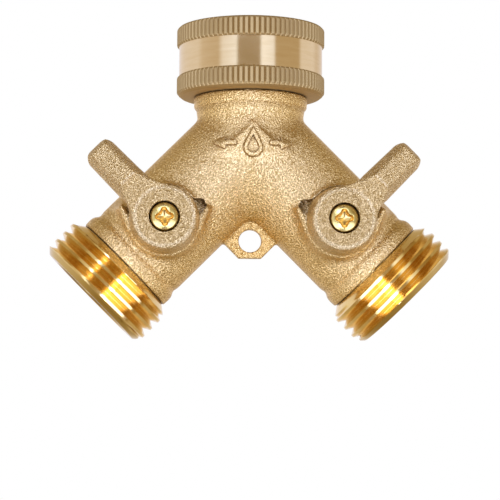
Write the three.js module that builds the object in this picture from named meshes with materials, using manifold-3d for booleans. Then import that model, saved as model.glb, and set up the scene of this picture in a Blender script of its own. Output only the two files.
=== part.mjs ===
// A two-way garden hose splitter: a cast brass Y with a swivel nut on its inlet and a lever ball valve in
// each leg. Millimetres, +Z up, levers facing -Y. The pieces are laid out from the point where the inlet axis
// meets both leg axes; the finished group is then raised so that the origin is under the hanging tab.
// "height" below means distance from the plane of the axes towards the levers, which is -Y.
import * as THREE from "three";
import { mergeVertices } from "three/addons/utils/BufferGeometryUtils.js";
import Module from "manifold-3d";

// ---------------------------------------------------------------- driving dimensions

const ROUND = 40; // facets round a large turned surface
const SMALL_ROUND = 24; // facets round a small one
const CURVE = 7; // facets along each arc of a drawn outline
const CLEARANCE = 0.1; // gap between turned parts that touch on the real object

// Garden hose thread, 3/4-11.5 NH
const hose = { pitch: 25.4 / 11.5, majorR: 13.49, minorR: 12.06, crest: 0.3 };
hose.flank = (hose.majorR - hose.minorR) * Math.tan(THREE.MathUtils.degToRad(30));

const legTilt = THREE.MathUtils.degToRad(135); // each leg's axis, measured from the inlet axis
const leg = { outerR: 11.0, boreR: 5.5, length: 36.95, collarR: 11.65, mouthR: 11.5 };
const neck = { outerR: 10.9, collarR: 11.85, collarTop: 9.05, stubR: 10.6, top: 13.9, boreR: 7.8 };

const valveAt = 25.3; // along the leg, from the origin to the stem's axis
const ball = { r: 6.8, portR: 4.3, slotWidth: 3.0, slotFloor: 4.6 };
const cavity = { r: 8.0, from: 18.2, to: 32.6, counterboreR: 9.4 };

// Where the lever turns: heights on the boss, and the fan-shaped pocket its stop lug swings in
const boss = { outerR: 7.8, top: 12.8, landR: 5.0, boreR: 3.1, flangeBoreR: 4.3, flangeBoreTop: 8.9 };
const pocket = { outerR: 7.3, floor: 9.4, from: 10, to: 170, reliefFloor: 8.8 };

const tab = { width: 10.6, bottom: -24.6, corner: 2.95, thickness: 2.2, holeAt: -20.95, holeR: 2.35 };

const nut = {
  outerR: 15.0, knurlR: 15.45, knurlRootR: 15.07, teeth: 88, bottom: 9.2, floorTop: 11.5, top: 23.7,
};
const washer = { outerR: 12.1, innerR: 9.1, thickness: 2.8, nubR: 0.8, nubs: 3 };
const snapRing = { innerR: 10.15, outerR: 11.5, bottom: 11.75, thickness: 1.0, gap: 16 };

const nipple = { shoulder: 37.05, end: 46.4, tailStart: 32.75, tailR: 9.25, hexFlat: 11.4, mouthR: 9.8 };
const stem = { r: 3.0, squareFlat: 4.0, top: 17.0, flangeR: 4.1, flangeTop: 8.4, flangeBottom: 7.1 };
const lever = {
  skirtR: 6.8, hubR: 6.25, rim: 0.6, bottom: 13.1, top: 19.55,
  armBottom: 15.9, armHalf: 3.3, fillet: 3.2, length: 19.8, tipR: 1.3, bevel: 1.2,
  rampStart: 4.6, padStart: 10.4, padTop: 20.75, seat: 17.3, counterboreR: 3.1,
};
const screw = { headR: 2.7, headTop: 19.3, shankR: 1.4, tip: 12.2 };

// ---------------------------------------------------------------- solids

const wasm = await Module();
wasm.setup();

// A closed three.js geometry as a solid that can be joined and cut.
function solid(geometry) {
  const bare = (geometry.index ? geometry.toNonIndexed() : geometry).clone();
  bare.deleteAttribute("normal");
  bare.deleteAttribute("uv");
  const merged = mergeVertices(bare, 1e-4);
  const index = merged.index.array;
  const kept = [];
  for (let i = 0; i < index.length; i += 3) {
    const [a, b, c] = index.slice(i, i + 3);
    if (a !== b && b !== c && c !== a) kept.push(a, b, c);
  }
  return new wasm.Manifold(new wasm.Mesh({
    numProp: 3,
    vertProperties: merged.attributes.position.array,
    triVerts: new Uint32Array(kept),
  }));
}

// The solid's surface as a three.js geometry.
function surface(made) {
  const { numProp, numVert, vertProperties, triVerts } = made.getMesh();
  const position = new Float32Array(numVert * 3);
  for (let i = 0; i < numVert; i++) {
    position.set(vertProperties.subarray(i * numProp, i * numProp + 3), i * 3);
  }
  return new THREE.BufferGeometry()
    .setAttribute("position", new THREE.BufferAttribute(position, 3))
    .setIndex(new THREE.BufferAttribute(triVerts, 1))
    .toNonIndexed();
}

// ---------------------------------------------------------------- geometry helpers

// A profile of [radius, z] points, anticlockwise with radius to the right, turned round the Z axis.
function turned(profile, facets = ROUND) {
  const points = profile.map(([r, z]) => new THREE.Vector2(r, z));
  if (profile[0][0] > 0) points.push(points[0].clone());
  return new THREE.LatheGeometry(points, facets).rotateX(Math.PI / 2);
}

// A plain disc or hole, from one z to another.
function rod(r, from, to, facets = ROUND) {
  return turned([[0, from], [r, from], [r, to], [0, to]], facets);
}

// A shape drawn in XY, extruded from one z to another, with an optional rounded edge inside its outline.
function prism(shape, from, to, bevel = 0, bevelSegments = 2) {
  return new THREE.ExtrudeGeometry(shape, {
    depth: to - from - 2 * bevel,
    bevelEnabled: bevel > 0,
    bevelThickness: bevel,
    bevelSize: bevel,
    bevelOffset: -bevel,
    bevelSegments,
    curveSegments: CURVE,
  }).translate(0, 0, from + bevel);
}

// Turns a geometry whose Z is height so that its Z points at -Y and its XY lies in the XZ plane.
function standing(geometry) {
  return geometry.rotateX(Math.PI / 2);
}

function alongLeg(geometry, side) {
  return geometry.rotateY(side * legTilt);
}

function polar(r, degrees) {
  const a = THREE.MathUtils.degToRad(degrees);
  return [r * Math.cos(a), r * Math.sin(a)];
}

function polygon(points) {
  return new THREE.Shape(points.map(([x, y]) => new THREE.Vector2(x, y)));
}

function centredRectangle(width, height) {
  const [w, h] = [width / 2, height / 2];
  return polygon([[-w, -h], [w, -h], [w, h], [-w, h]]);
}

// A straight rib wound into a screw thread round Z. The rib stands from rootR to crestR and is cut down
// to nothing over the first and last part of a turn. phase is the angle at which it starts, at z = start.
function threadRib({ rootR, crestR, start, turns, pitch, phase = 0, fadeTurns = 0.35 }) {
  const sink = -0.25; // the rib's foot lies this far inside the wall it joins
  const tip = hose.crest / 2;
  const foot = tip + hose.flank * (1 - sink / Math.abs(crestR - rootR));
  const section = polygon([[-foot, sink], [foot, sink], [tip, 1], [-tip, 1]]);
  const steps = Math.round(turns * 18);
  const rib = new THREE.ExtrudeGeometry(section, { depth: turns, steps, bevelEnabled: false });
  const position = rib.attributes.position;
  const outward = Math.sign(crestR - rootR);
  for (let i = 0; i < position.count; i++) {
    const [along, rise, turn] = [position.getX(i), position.getY(i), position.getZ(i)];
    const fade = Math.max(0.04, Math.min(1, turn / fadeTurns, (turns - turn) / fadeTurns));
    const reach = rise > 0 ? rise * fade * (crestR - rootR) : rise * outward;
    const angle = phase + turn * 2 * Math.PI;
    const r = rootR + reach;
    position.setXYZ(i, r * Math.cos(angle), r * Math.sin(angle), start + along * outward + turn * pitch);
  }
  return rib;
}

// ---------------------------------------------------------------- the casting

function legProfile() {
  return [
    [0, 0], [leg.outerR, 0], [leg.outerR, 33.3], [leg.collarR, 34.6], [leg.collarR, 36.0],
    [leg.mouthR, leg.length], [0, leg.length],
  ];
}

function neckProfile() {
  const { outerR, collarR, collarTop, stubR, top } = neck;
  const { bottom, thickness, innerR } = snapRing;
  return [
    [0, 0], [outerR, 0], [outerR, 4.2], [collarR - 0.45, 6.4], [collarR, 6.9], [collarR, collarTop],
    [stubR, collarTop],
    [stubR, bottom - CLEARANCE], [innerR - CLEARANCE, bottom - CLEARANCE],
    [innerR - CLEARANCE, bottom + thickness + CLEARANCE], [stubR, bottom + thickness + CLEARANCE],
    [stubR, top], [0, top],
  ];
}

// The raised part of the boss, seen from the lever side: a C open at the top, ending in two pointed ears.
function bossOutline() {
  const c = new THREE.Shape();
  c.moveTo(...polar(4, pocket.from));
  c.lineTo(...polar(pocket.outerR, pocket.from));
  c.lineTo(...polar(9.2, 20));
  c.lineTo(...polar(9.7, 16.5));
  c.absarc(0, 0, boss.outerR, THREE.MathUtils.degToRad(-14), THREE.MathUtils.degToRad(194), true);
  c.lineTo(...polar(9.7, 163.5));
  c.lineTo(...polar(9.2, 160));
  c.lineTo(...polar(pocket.outerR, pocket.to));
  c.lineTo(...polar(4, pocket.to));
  return c;
}

// The fan between the boss's central land and the pocket's wall.
function pocketOutline() {
  const [from, to] = [pocket.from, pocket.to].map(THREE.MathUtils.degToRad);
  const fan = new THREE.Shape();
  fan.absarc(0, 0, pocket.outerR, from, to, false);
  fan.absarc(0, 0, boss.landR, to, from, true);
  return fan;
}

// The pointed recess at one end of the fan; flip is 1 for the end towards +X and -1 for the other.
function reliefOutline(flip) {
  const corners = [
    polar(6.4, 14), polar(pocket.outerR, pocket.from), polar(9.1, 20), polar(8.8, 27), polar(7.2, 39),
  ];
  const placed = corners.map(([x, y]) => [flip * x, y]);
  return polygon(flip > 0 ? placed : placed.reverse());
}

function tabOutline() {
  const half = tab.width / 2;
  const outline = polygon([
    [0, -8], [-half - 2, -14], [-half, tab.bottom + tab.corner], [-half + tab.corner, tab.bottom],
    [half - tab.corner, tab.bottom], [half, tab.bottom + tab.corner], [half + 2, -14],
  ]);
  outline.holes.push(new THREE.Path().absarc(0, tab.holeAt, tab.holeR, 0, 2 * Math.PI, true));
  return outline;
}

// A water drop between two arrows, raised on the front: both levers point at it when the valves are open.
function openMark() {
  const drop = new THREE.Shape();
  drop.moveTo(0, 1.4);
  drop.bezierCurveTo(-0.6, -0.1, -1.95, -1.5, -1.95, -2.8);
  drop.absarc(0, -2.8, 1.95, Math.PI, 2 * Math.PI, false);
  drop.bezierCurveTo(1.95, -1.5, 0.6, -0.1, 0, 1.4);
  const arrow = (flip) => {
    const upper = [[3.3, -1.4], [5.6, -1.4], [5.6, -0.5]];
    const lower = [[5.6, -3.3], [5.6, -2.4], [3.3, -2.4]];
    const points = [...upper, [8.4, -1.9], ...lower];
    const placed = points.map(([x, y]) => [flip * x, y]);
    return polygon(flip > 0 ? placed.reverse() : placed);
  };
  return [drop, arrow(1), arrow(-1)];
}

// A shallow raised shape that follows the casting: the shape's prism, kept to just outside the legs' front.
function markRelief() {
  const front = [-1, 1].map((side) => solid(alongLeg(rod(leg.outerR + 0.45, -6, 30), side)));
  const skin = front[0].add(front[1]).add(solid(rod(neck.outerR + 0.45, -6, 6)));
  return openMark()
    .map((shape) => solid(standing(prism(shape, 6, 14))).intersect(skin))
    .reduce((all, one) => all.add(one));
}

// side is 1 for the leg at +X and -1 for the leg at -X.
function valveCentre(side) {
  return [side * valveAt * Math.sin(legTilt), valveAt * Math.cos(legTilt)];
}

function addLeg(casting, side) {
  const [x, z] = valveCentre(side);
  const atValve = (geometry) => solid(standing(geometry).translate(x, 0, z));
  return casting
    .add(solid(alongLeg(turned(legProfile()), side)))
    .add(atValve(prism(bossOutline(), 4, boss.top, 0)))
    .add(atValve(rod(boss.landR, 4, boss.top, SMALL_ROUND)));
}

function cutLeg(casting, side) {
  const [x, z] = valveCentre(side);
  const atValve = (geometry) => solid(standing(geometry).translate(x, 0, z));
  const along = (geometry) => solid(alongLeg(geometry, side));
  return casting
    .subtract(atValve(prism(pocketOutline(), pocket.floor, 20)))
    .subtract(atValve(prism(reliefOutline(1), pocket.reliefFloor, 20)))
    .subtract(atValve(prism(reliefOutline(-1), pocket.reliefFloor, 20)))
    .subtract(atValve(rod(boss.boreR, 4, 20, SMALL_ROUND)))
    .subtract(atValve(rod(boss.flangeBoreR, 4, boss.flangeBoreTop, SMALL_ROUND)))
    .subtract(along(rod(leg.boreR, 0, 30, SMALL_ROUND)))
    .subtract(along(rod(cavity.r, cavity.from, leg.length + 1)))
    .subtract(along(rod(cavity.counterboreR, cavity.to, leg.length + 1)));
}

function bodyCasting() {
  let casting = solid(turned(neckProfile()));
  casting = addLeg(addLeg(casting, 1), -1);
  casting = casting.add(solid(standing(prism(tabOutline(), -tab.thickness / 2, tab.thickness / 2))));
  casting = casting.add(markRelief());
  casting = casting.subtract(solid(turned([
    [0, -4], [leg.boreR, -1], [neck.boreR, 2], [neck.boreR, neck.top + 1], [0, neck.top + 1],
  ], 24)));
  return surface(cutLeg(cutLeg(casting, 1), -1));
}

// ---------------------------------------------------------------- the inlet

// A ring with pointed teeth round its edge.
function knurlOutline() {
  const outline = new THREE.Shape();
  const step = (2 * Math.PI) / nut.teeth;
  const point = (r, a) => [r * Math.cos(a), r * Math.sin(a)];
  outline.moveTo(...point(nut.knurlR, 0));
  for (let i = 0; i < nut.teeth; i++) {
    outline.lineTo(...point(nut.knurlRootR, (i + 0.5) * step));
    if (i < nut.teeth - 1) outline.lineTo(...point(nut.knurlR, (i + 1) * step));
  }
  outline.holes.push(new THREE.Path().absarc(0, 0, nut.outerR - 0.6, 0, 2 * Math.PI, true));
  return outline;
}

function swivelNut() {
  const { outerR, bottom, floorTop, top } = nut;
  const holeR = neck.stubR + CLEARANCE;
  const threadR = hose.majorR + 0.12;
  const shell = solid(turned([
    [holeR, bottom], [14.4, bottom], [outerR, bottom + 0.55], [outerR, top - 0.35], [outerR - 0.35, top],
    [threadR + 0.4, top], [threadR, top - 0.4], [threadR, floorTop], [holeR, floorTop],
  ], nut.teeth / 2));
  const knurl = (from, to) => solid(prism(knurlOutline(), from, to));
  const rib = threadRib({
    rootR: threadR, crestR: hose.minorR + 0.2, start: floorTop + 6.6, turns: 2.1, pitch: hose.pitch, phase: 0.4,
  });
  return surface(shell.add(knurl(bottom + 0.55, 13.4)).add(knurl(19.75, top - 0.3)).add(solid(rib)));
}

// The flat rubber washer, with round nubs that catch under the nut's first thread.
function inletWasher() {
  const { outerR, innerR, thickness, nubR, nubs } = washer;
  let ring = solid(turned([[innerR, 0], [outerR, 0], [outerR, thickness], [innerR, thickness]]));
  for (let i = 0; i < nubs; i++) {
    const [x, y] = polar(outerR + 0.45, 60 + (i * 360) / nubs);
    ring = ring.add(solid(rod(nubR, 0, thickness, 16).translate(x, y, 0)));
  }
  return surface(ring);
}

// A split ring of flat wire in the neck's groove: it keeps the nut on.
function snapRingGeometry() {
  const gap = THREE.MathUtils.degToRad(snapRing.gap / 2);
  const outline = new THREE.Shape();
  outline.absarc(0, 0, snapRing.outerR, gap, 2 * Math.PI - gap, false);
  outline.absarc(0, 0, snapRing.innerR, 2 * Math.PI - gap, gap, true);
  return surface(solid(new THREE.ExtrudeGeometry(outline, {
    depth: snapRing.thickness, bevelEnabled: false, curveSegments: 24,
  })));
}

// ---------------------------------------------------------------- in each leg

// The screwed-in outlet: a tail inside the leg, a shoulder against its end and the hose thread.
function outletNipple(threadPhase) {
  const { shoulder, end, tailStart, tailR, hexFlat, mouthR } = nipple;
  const [coneR, coneTop, lipR] = [13.0, shoulder + 1.4, 12.8];
  const body = solid(turned([
    [0, tailStart], [tailR, tailStart], [tailR, 34.8], [8.0, 34.8], [8.0, 36.05], [tailR, 36.05],
    [tailR, shoulder], [11.4, shoulder], [coneR, coneTop], [hose.minorR, coneTop + 0.55],
    [hose.minorR, end - 1.1], [lipR, end - 0.7], [hose.minorR, end], [mouthR, end], [mouthR, 40.6],
    [6.6, 38.6], [0, 38.6],
  ], 36));
  const hex = [0, 1, 2, 3, 4, 5].map((i) => polar(hexFlat / Math.sqrt(3), i * 60));
  const rib = threadRib({
    rootR: hose.minorR, crestR: hose.majorR, start: shoulder + 1.3, turns: 3.2, pitch: hose.pitch,
    phase: threadPhase,
  });
  return surface(body.subtract(solid(prism(polygon(hex), tailStart - 1, 39.2))).add(solid(rib)));
}

function oRing(centreR, tubeR) {
  return surface(solid(new THREE.TorusGeometry(centreR, tubeR, 6, 16)));
}

// A seat ring's profile runs from its flat back to the hollow that the ball turns in.
function ballSeat() {
  const back = valveAt - cavity.from - 0.15;
  const [outerR, innerR, face] = [cavity.r - 0.15, 5.0, ball.r + 0.2];
  const onBall = (r) => -Math.sqrt(face * face - r * r);
  return surface(solid(turned([
    [innerR, -back], [outerR, -back], [outerR, -4.2], [6.1, -4.2], [5.9, onBall(5.9)], [5.4, onBall(5.4)],
    [innerR, onBall(innerR)],
  ], 24)));
}

// Bored along X, which is across the leg while the valve is shut; the stem's slot crosses the bore.
function ballGeometry() {
  const port = rod(ball.portR, -10, 10, SMALL_ROUND).rotateY(Math.PI / 2);
  const slot = standing(prism(centredRectangle(ball.slotWidth, 20), ball.slotFloor, 10));
  return surface(solid(new THREE.SphereGeometry(ball.r, 24, 14)).subtract(solid(port)).subtract(solid(slot)));
}

// Heights run along Z here: tang, flange, two grooves for O-rings, then the square the lever fits.
const grooves = [{ from: 9.45, to: 10.55 }, { from: 11.15, to: 12.25 }];

function stemGeometry() {
  const { r, flangeR, flangeTop, flangeBottom, squareFlat, top } = stem;
  const grooveR = 2.04;
  const profile = [[0, flangeBottom], [flangeR, flangeBottom], [flangeR, flangeTop], [r, flangeTop]];
  grooves.forEach(({ from, to }) => profile.push([r, from], [grooveR, from], [grooveR, to], [r, to]));
  profile.push([r, 12.95], [0, 12.95]);
  const tang = prism(centredRectangle(ball.slotWidth - 0.3, 6.4), ball.slotFloor + 0.25, flangeBottom + 0.2);
  const square = prism(centredRectangle(squareFlat, squareFlat), 12.5, top);
  const tapped = rod(screw.shankR + CLEARANCE, screw.tip - 0.4, top + 1, 20);
  return surface(
    solid(turned(profile, SMALL_ROUND))
      .add(solid(tang))
      .add(solid(square))
      .subtract(solid(tapped)),
  );
}

function thrustWasher() {
  const [bottom, top] = [stem.flangeTop + 0.05, boss.flangeBoreTop - 0.05];
  const [innerR, outerR] = [stem.r + 0.06, boss.flangeBoreR - 0.1];
  const profile = [[innerR, bottom], [outerR, bottom], [outerR, top], [innerR, top]];
  return surface(solid(turned(profile, SMALL_ROUND)));
}

// The lever seen from above, its arm along +X: a round hub, two fillets and a square-ended arm.
function leverOutline() {
  const { armHalf, fillet, length, tipR } = lever;
  const hubR = lever.hubR - lever.rim;
  const across = armHalf + fillet;
  const along = Math.sqrt((hubR + fillet) ** 2 - across ** 2);
  const touch = Math.atan2(across, along);
  const outline = new THREE.Shape();
  outline.absarc(0, 0, hubR, touch, 2 * Math.PI - touch, false);
  outline.absarc(along, -across, fillet, Math.PI - touch, Math.PI / 2, true);
  outline.absarc(length - tipR, tipR - armHalf, tipR, -Math.PI / 2, 0, false);
  outline.absarc(length - tipR, armHalf - tipR, tipR, 0, Math.PI / 2, false);
  outline.absarc(along, across, fillet, -Math.PI / 2, touch - Math.PI, true);
  return outline;
}

// The lug under the hub swings between the pocket's ends with one degree to spare at each.
function lugOutline() {
  const half = THREE.MathUtils.degToRad(44 - pocket.from);
  const lug = new THREE.Shape();
  lug.absarc(0, 0, pocket.outerR - 0.25, -half, half, false);
  lug.absarc(0, 0, boss.landR + 0.25, half, -half, true);
  return lug;
}

// The lever's side view: level over the hub, then rising to the raised pad at the end of the arm.
function leverSide() {
  const { armBottom, top, rampStart, padStart, padTop, length } = lever;
  return polygon([
    [-10, armBottom - 1], [length + 1, armBottom - 1], [length + 1, padTop + 1], [padStart, padTop + 1],
    [padStart, padTop], [rampStart, top], [-10, top],
  ]);
}

function leverGeometry() {
  const { skirtR, hubR, rim, bottom, armBottom, top, bevel, padTop, seat, counterboreR } = lever;
  const hub = turned([[0, bottom], [skirtR, bottom], [hubR, top - rim], [hubR - rim, top], [0, top]]);
  const hole = stem.squareFlat + 0.2;
  const squareHole = prism(centredRectangle(hole, hole), bottom - 1, seat + 0.5);
  const side = prism(leverSide(), -10, 10).rotateX(Math.PI / 2);
  return surface(
    solid(prism(leverOutline(), armBottom, padTop, bevel))
      .intersect(solid(side))
      .add(solid(hub))
      .add(solid(prism(lugOutline(), pocket.floor + 0.3, bottom + 0.5)))
      .subtract(solid(rod(counterboreR, seat, top + 2, SMALL_ROUND)))
      .subtract(solid(squareHole)),
  );
}

// A pan-headed screw with a cross recess.
function leverScrew() {
  const { headR, headTop, shankR, tip } = screw;
  const under = lever.seat + 0.05;
  const body = solid(turned([
    [0, tip], [shankR - 0.4, tip], [shankR, tip + 0.4], [shankR, under], [headR, under], [headR, headTop - 0.7],
    [headR - 0.25, headTop - 0.25], [headR - 0.8, headTop], [0, headTop],
  ], SMALL_ROUND));
  const arm = (w, l) => solid(prism(centredRectangle(w, l), headTop - 1.1, headTop + 1));
  return surface(body.subtract(arm(0.8, 3.2)).subtract(arm(3.2, 0.8)));
}

// ---------------------------------------------------------------- the assembly

const finish = (color, roughness, metalness = 1) =>
  new THREE.MeshStandardMaterial({ color, roughness, metalness });
const castBrass = finish(0xc59a56, 0.5);
const machinedBrass = finish(0xc9a566, 0.3);
const brightBrass = finish(0xd9a03a, 0.15);
const screwBrass = finish(0xd8b85c, 0.25);
const springSteel = finish(0xb0aca4, 0.35);
const chrome = finish(0xd4d6d8, 0.1);
const ptfe = finish(0xece9e2, 0.6, 0);
const rubber = finish(0x232524, 0.75, 0);

function part(name, geometry, material) {
  const mesh = new THREE.Mesh(geometry, material);
  mesh.name = name;
  return mesh;
}

// Everything in one leg. In the leg's group, Z runs out along the leg and Y still points to the back.
// closedTurn points the lever away from the other leg while the valve is shut.
function legAssembly(prefix, side, closedTurn, threadPhase) {
  const group = new THREE.Group();
  group.rotation.y = side * legTilt;
  group.add(part(`${prefix}_outlet_nipple`, outletNipple(threadPhase), brightBrass));
  const seal = part(`${prefix}_nipple_o_ring`, oRing(8.77, 0.54), rubber);
  seal.position.z = 35.42;
  group.add(seal);

  const valve = new THREE.Group();
  valve.position.z = valveAt;
  const innerSeat = part(`${prefix}_inner_seat`, ballSeat(), ptfe);
  const outerSeat = part(`${prefix}_outer_seat`, ballSeat(), ptfe);
  outerSeat.rotation.x = Math.PI;
  valve.add(innerSeat, outerSeat);

  const turning = new THREE.Group();
  turning.rotation.y = closedTurn;
  turning.add(part(`${prefix}_ball`, ballGeometry(), chrome));
  const upright = new THREE.Group();
  upright.rotation.x = Math.PI / 2;
  upright.add(
    part(`${prefix}_stem`, stemGeometry(), machinedBrass),
    part(`${prefix}_stem_thrust_washer`, thrustWasher(), ptfe),
    part(`${prefix}_lever`, leverGeometry(), castBrass),
    part(`${prefix}_lever_screw`, leverScrew(), screwBrass),
  );
  grooves.forEach(({ from, to }, i) => {
    const ring = part(`${prefix}_stem_o_ring_${i ? "outer" : "inner"}`, oRing(2.58, 0.44), rubber);
    ring.position.z = (from + to) / 2;
    upright.add(ring);
  });
  turning.add(upright);
  valve.add(turning);
  group.add(valve);
  return group;
}

const splitter = new THREE.Group();
splitter.add(part("body_casting", bodyCasting(), castBrass));
splitter.add(part("swivel_nut", swivelNut(), machinedBrass));

const ring = part("nut_snap_ring", snapRingGeometry(), springSteel);
ring.position.z = snapRing.bottom;
ring.rotation.z = Math.PI / 2;
splitter.add(ring);

const seal = part("inlet_washer", inletWasher(), rubber);
seal.position.z = neck.top + CLEARANCE;
splitter.add(seal);

splitter.add(legAssembly("left", -1, 0, -Math.PI / 2));
splitter.add(legAssembly("right", 1, Math.PI, Math.PI));
splitter.position.z = -tab.bottom;

export default splitter;
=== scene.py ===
"""The look of a brass hose splitter.

The cast body and levers come from distance fields, and the turned and threaded pieces from rings.
Lengths are in millimetres until the last step. Shapes are laid out from the crossing of the inlet
and leg axes, +Z up the inlet and levers on the -Y side, and raised by LIFT into the part's frame.
"""

import math

import bpy
import numpy as np
from mathutils import Matrix, Vector


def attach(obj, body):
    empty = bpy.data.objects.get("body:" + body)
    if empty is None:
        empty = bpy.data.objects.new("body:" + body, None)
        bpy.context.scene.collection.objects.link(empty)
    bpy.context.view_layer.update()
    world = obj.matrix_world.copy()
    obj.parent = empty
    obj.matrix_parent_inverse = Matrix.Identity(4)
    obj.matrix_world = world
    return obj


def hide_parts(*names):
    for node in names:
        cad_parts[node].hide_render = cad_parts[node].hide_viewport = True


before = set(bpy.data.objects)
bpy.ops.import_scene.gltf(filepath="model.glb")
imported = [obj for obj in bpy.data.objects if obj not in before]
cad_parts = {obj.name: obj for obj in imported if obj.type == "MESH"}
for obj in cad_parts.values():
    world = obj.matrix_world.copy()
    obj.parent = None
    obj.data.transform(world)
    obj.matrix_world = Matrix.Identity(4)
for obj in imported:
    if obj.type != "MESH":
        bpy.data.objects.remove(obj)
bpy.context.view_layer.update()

MM = 0.001
LIFT = 24.6  # from the flat edge under the tab up to where the axes cross
C45 = math.sqrt(0.5)
ALONG = 25.3  # how far along its leg each valve is
VALVE = ALONG * C45  # and so how far out and down from where the axes cross
PITCH = 25.4 / 11.5  # 11.5 turns an inch
THREAD_R = 13.49  # over the outlets' thread, 26.99 mm across
SIDES = {"left": -1, "right": 1}

LEG_R = 11.0
LEG_END = 37.1
NECK_END = 9.05
NECK_BORE_R = 7.8
BOSS_R = 7.35
BOSS_FRONT = 12.8  # how far in front of the leg's axis a boss ends
POCKET_DEPTH = 9.4
STEM_HOLE_R = 3.1
TAB_HOLE_R = 2.35
MARK_HEIGHT = 0.78
POCKET = {"r0": 5.0, "r1": 7.3, "a0": 10, "a1": 170}  # the fan that a lever's lug swings in

HUB_R = 7.1
HUB_TOP = 19.55
ARM_END = 19.6
ARM_TOP = 20.75
SCREW_R = 2.86
SCREW_TOP = 19.35
SHANK_R = 1.4

NUT_R = 15.0
NUT_LOW = 9.2
NUT_HIGH = 23.7
KNURL_LAND = 15.07
KNURL_HEIGHT = 0.39
KNURL_TEETH = 88

BALL_R = 6.8
PORT_R = 4.3
SEAT_R = 7.0  # of the hollow that a ball rests in

# ---------------------------------------------------------------- distance fields


def smin(a, b, k):
    h = np.clip(0.5 + 0.5 * (b - a) / k, 0, 1)
    return b + (a - b) * h - k * h * (1 - h)


def smax(a, b, k):
    return -smin(-a, -b, k)


def span(*v):
    total = v[0] * v[0]
    for one in v[1:]:
        total = total + one * one
    return np.sqrt(total)


def polygon(u, v, points):
    """Signed distance to a closed polygon, negative inside."""
    best = np.full(np.broadcast(u, v).shape, 1e9, np.float32)
    inside = np.zeros(best.shape, bool)
    for (x0, y0), (x1, y1) in zip(points, points[1:] + points[:1]):
        ex, ey = x1 - x0, y1 - y0
        wx, wy = u - x0, v - y0
        t = np.clip((wx * ex + wy * ey) / (ex * ex + ey * ey), 0, 1)
        best = np.minimum(best, (wx - ex * t) ** 2 + (wy - ey * t) ** 2)
        if y0 != y1:
            crosses = ((y0 > v) != (y1 > v)) & (u < ex * (v - y0) / ey + x0)
            inside ^= crosses
    return np.where(inside, -np.sqrt(best), np.sqrt(best)).astype(np.float32)


def fan(u, v, r0, r1, a0, a1):
    """Part of a ring, between two radii and two angles in degrees less than a half turn apart."""
    r = span(u, v)
    sides = []
    for a, turn in ((a0, 1), (a1, -1)):
        s, c = math.sin(math.radians(a)), math.cos(math.radians(a))
        sides.append(turn * (s * u - c * v))
    return np.maximum.reduce([r - r1, r0 - r, *sides])


def polar(r, degrees):
    return (r * math.cos(math.radians(degrees)), r * math.sin(math.radians(degrees)))


def smooth_profile(points, blur):
    """A radius along an axis, from straight runs with their corners softened over blur."""
    at = np.arange(points[0][0] - 2, points[-1][0] + 2, 0.05)
    r = np.interp(at, *zip(*points))
    k = np.exp(-0.5 * (np.arange(-40, 41) * 0.05 / blur) ** 2)
    r = np.convolve(np.pad(r, 40, mode="edge"), k / k.sum(), mode="valid")
    return lambda s: np.interp(s, at, r).astype(np.float32)


def settle(field):
    """A copy of the field with no points right on its surface and no corners that meet diagonally.

    Either would leave slivers, or more than two faces on one edge.
    """
    on_surface, filled, rounds = 0.004, -0.01, 12
    field = np.where(np.abs(field) < on_surface, -on_surface, field)
    for _ in range(rounds):
        found = 0
        for axis in range(3):
            layers = np.moveaxis(field, axis, 2)
            corners = [layers[:-1, :-1], layers[1:, 1:], layers[:-1, 1:], layers[1:, :-1]]
            for solid, gap in ((0, 2), (2, 0)):
                crossed = (corners[solid] < 0) & (corners[solid + 1] < 0)
                crossed &= (corners[gap] >= 0) & (corners[gap + 1] >= 0)
                at = np.nonzero(crossed)
                corners[gap][at] = filled
                corners[gap + 1][at] = filled
                found += len(at[0])
        if not found:
            break
    return field


def net(field, low, step):
    """The zero surface of a field as (points, quads), one point in each cell it passes through."""
    field = settle(field)
    inside = field < 0
    shape = np.array(field.shape)
    cells, spots, quads = [], [], []
    for a in range(3):
        b, c = (a + 1) % 3, (a + 2) % 3
        head = [slice(None)] * 3
        tail = [slice(None)] * 3
        head[a], tail[a] = slice(None, -1), slice(1, None)
        crossed = np.argwhere(inside[tuple(head)] != inside[tuple(tail)])
        nxt = crossed.copy()
        nxt[:, a] += 1
        f0, f1 = field[tuple(crossed.T)], field[tuple(nxt.T)]
        spot = crossed.astype(np.float64)
        spot[:, a] += f0 / (f0 - f1)
        around = []
        for db, dc in ((-1, -1), (0, -1), (0, 0), (-1, 0)):
            cell = crossed.copy()
            cell[:, b] += db
            cell[:, c] += dc
            around.append(np.ravel_multi_index(tuple(cell.T), tuple(shape)))
        ring = np.stack(around, 1)
        outward = f0 < 0
        quads.append(np.where(outward[:, None], ring, ring[:, ::-1]))
        cells.append(ring.ravel())
        spots.append(np.repeat(spot, 4, axis=0))
    cells, spots, quads = map(np.concatenate, (cells, spots, quads))
    _, where = np.unique(cells, return_inverse=True)
    count = np.bincount(where)
    points = np.stack([np.bincount(where, spots[:, i]) / count for i in range(3)], 1)
    return points * step + np.array(low), where.reshape(-1, 4)


def grid(low, high, step):
    """The three coordinates of a block of points, each along its own axis."""
    axes = [np.arange(lo, hi + step, step, dtype=np.float32) for lo, hi in zip(low, high)]
    return axes[0][:, None, None], axes[1][None, :, None], axes[2][None, None, :]


# ---------------------------------------------------------------- meshes


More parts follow.
